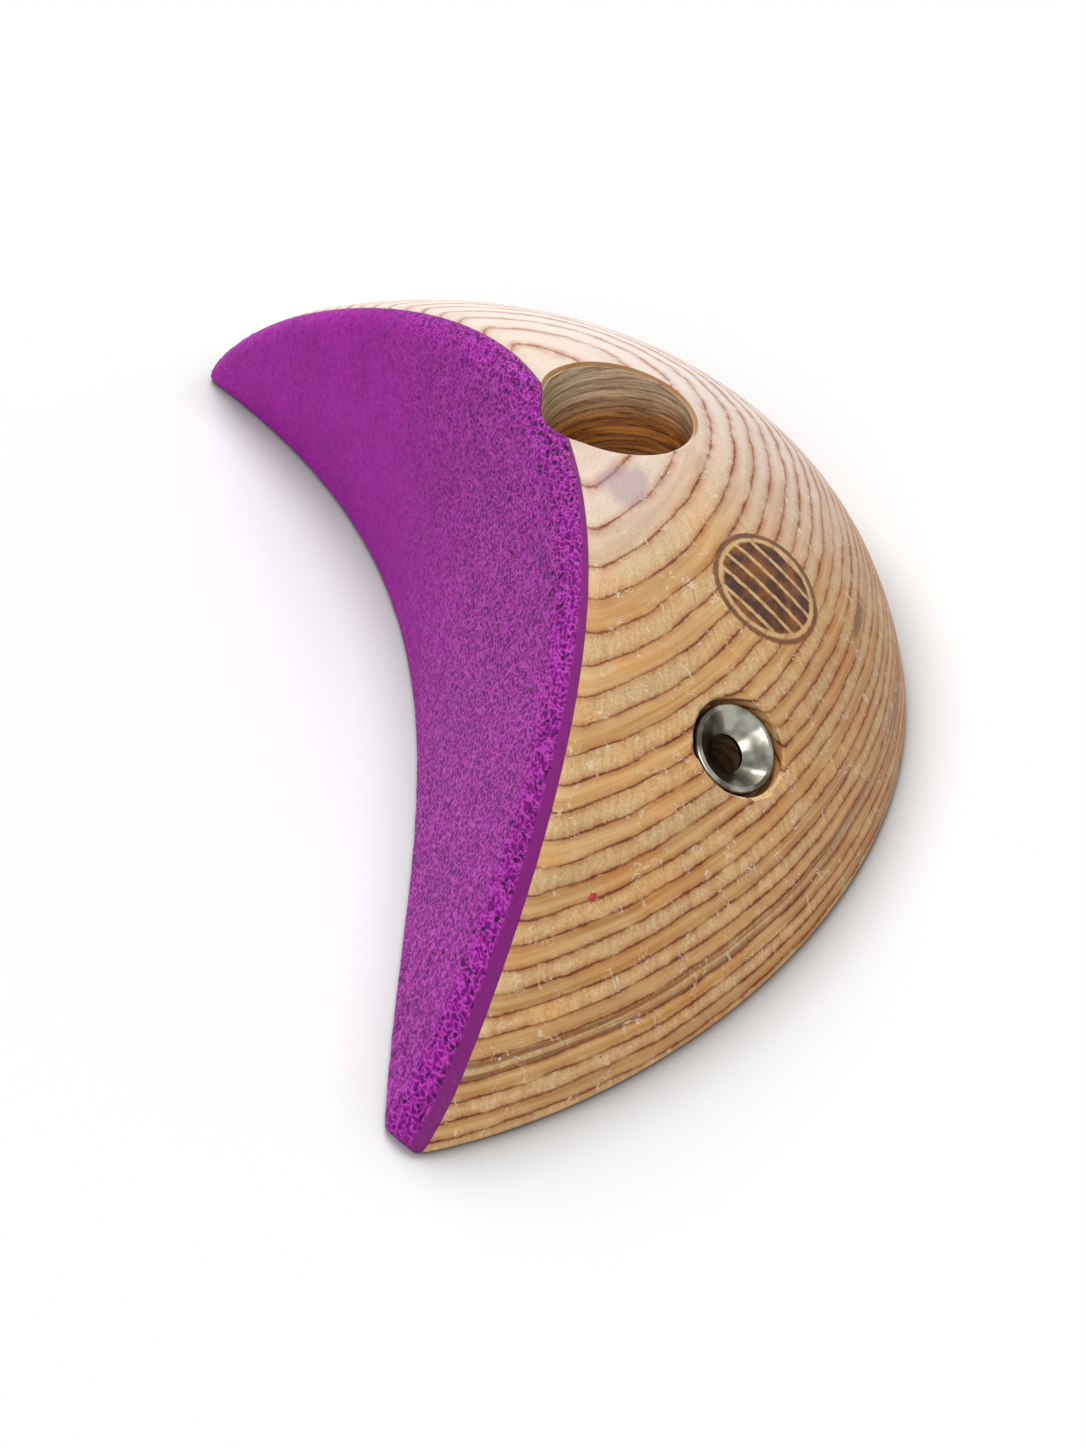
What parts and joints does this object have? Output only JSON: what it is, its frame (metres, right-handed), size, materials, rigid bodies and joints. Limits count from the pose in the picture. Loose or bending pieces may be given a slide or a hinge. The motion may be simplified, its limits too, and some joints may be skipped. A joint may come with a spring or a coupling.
{
  "type": "climbing hold",
  "caption": "Crescent plywood climbing hold with a textured resin grip face in its hollow side, a counterbored wall-bolt hole and a slanted screw hole with a cup washer.",
  "frame": {"origin": "middle of the part's footprint box, on the flat back", "axes": "+Z out of the wall from the flat back; +X along the hold to the tip nearer the bolt hole; +Y out of the hollow grip face, which faces up on a wall"},
  "size_m": [0.1858, 0.0992, 0.0442],
  "materials": {
    "wood": "sanded softwood plywood, its plies parallel to the back, with a thin matt oil",
    "resin": "purple moulded resin with a fine gritty texture",
    "steel": "turned, satin"
  },
  "bodies": {
    "root": {"wood_body": "wood", "grip_face": "resin", "bolt_washer": "steel", "screw_cup_washer": "steel"}
  },
  "joints": []
}
